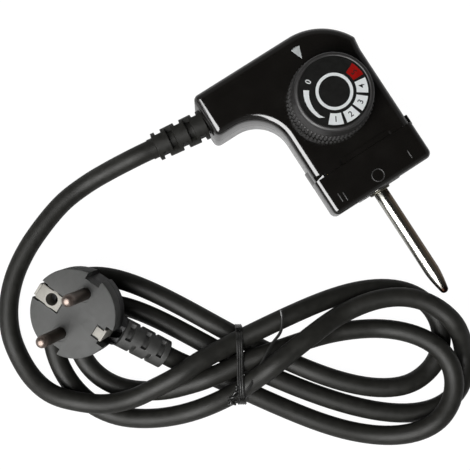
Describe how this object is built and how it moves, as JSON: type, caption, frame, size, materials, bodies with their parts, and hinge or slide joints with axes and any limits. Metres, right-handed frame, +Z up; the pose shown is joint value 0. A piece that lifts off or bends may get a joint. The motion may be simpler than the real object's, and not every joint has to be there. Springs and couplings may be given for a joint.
{
  "type": "griddle thermostat cord",
  "caption": "Plug-in thermostat control for a table griddle, with a sensing probe, a numbered heat dial and a mains cord tied in a hank, ending in an angled mains plug.",
  "frame": {"origin": "on the probe's axis, at the front face of the head", "axes": "+Z up along the dial's axis, the probe points along -Y, the cord leaves the neck along -X"},
  "size_m": [0.1899, 0.1684, 0.0518],
  "materials": {
    "case_black": "glossy moulded black plastic",
    "knob_black": "satin black plastic",
    "dial_black": "satin black plastic",
    "print_white": "white printing",
    "print_red": "red printing",
    "pointer_silver": "pale silver printing",
    "steel": "polished stainless steel",
    "zinc_steel": "zinc plated steel",
    "brass": "turned brass",
    "copper": "copper alloy spring strip",
    "ceramic": "cream steatite",
    "bakelite": "brown moulded phenolic",
    "white_plastic": "natural nylon",
    "rubber_black": "matte black rubber",
    "tie_black": "plastic covered wire",
    "plug_black": "matte black moulded PVC",
    "plug_grey": "matte dark grey plastic",
    "pin_metal": "nickel plated brass",
    "earth_silver": "bright plated spring strip",
    "wire_brown": "brown insulation",
    "wire_blue": "blue insulation",
    "wire_green": "green and yellow insulation"
  },
  "bodies": {
    "head": {"upper_case": "case_black", "lower_case": "case_black", "connector_shroud": "case_black", "pointer_mark": "pointer_silver", "spindle_bush": "brass", "thermostat_frame": "zinc_steel", "contact_base": "ceramic", "fixed_contact_arm": "copper", "probe_tube": "steel", "probe_bush": "steel", "contact_carrier": "bakelite", "live_socket": "brass", "neutral_socket": "brass", "socket_screws": "zinc_steel", "earth_strip": "zinc_steel", "live_wire": "wire_brown", "switched_wire": "wire_brown", "neutral_wire": "wire_blue", "earth_wire": "wire_green", "cord_core": "rubber_black", "cord_clamp": "white_plastic", "clamp_screws": "zinc_steel", "case_screws": "zinc_steel", "strain_relief": "rubber_black", "cord_lead": "rubber_black", "cord_hank": "rubber_black", "cord_tail": "rubber_black", "twist_tie": "tie_black", "plug_body": "plug_black", "plug_face": "plug_grey", "plug_pins": "pin_metal", "pin_bridge": "white_plastic", "pin_crimps": "brass", "earth_plate": "earth_silver", "earth_clips": "earth_silver", "plug_wires": "wire_brown", "plug_relief": "plug_black"},
    "dial": {"knob": "knob_black", "dial_disc": "dial_black", "dial_white_print": "print_white", "dial_red_print": "print_red", "spindle": "zinc_steel", "spindle_clip": "zinc_steel"},
    "pin": {"adjusting_pin": "ceramic"},
    "contact": {"moving_contact_arm": "copper"},
    "rod": {"expansion_rod": "zinc_steel"}
  },
  "joints": [
    {"name": "dial_turn", "type": "hinge", "parent": "head", "child": "dial", "pos_m": [0, 0.041, 0.0145], "axis": [0, 0, -1], "range_deg": [0, 285]},
    {"name": "pin_press", "type": "slide", "parent": "head", "child": "pin", "axis": [0, 0, -1], "range_m": [0, 0.000505]},
    {"name": "contact_bend", "type": "hinge", "parent": "head", "child": "contact", "pos_m": [0, 0.05, 0.004], "axis": [1, 0, 0], "range_deg": [0, 3.21]},
    {"name": "rod_creep", "type": "slide", "parent": "head", "child": "rod", "axis": [0, -1, 0], "range_m": [0, 0.0004]}
  ],
  "couplings": [
    {"joint": "pin_press", "follows": "dial_turn", "m_per_rad": 0.00010035},
    {"joint": "contact_bend", "follows": "dial_turn", "ratio": 0.011154}
  ]
}
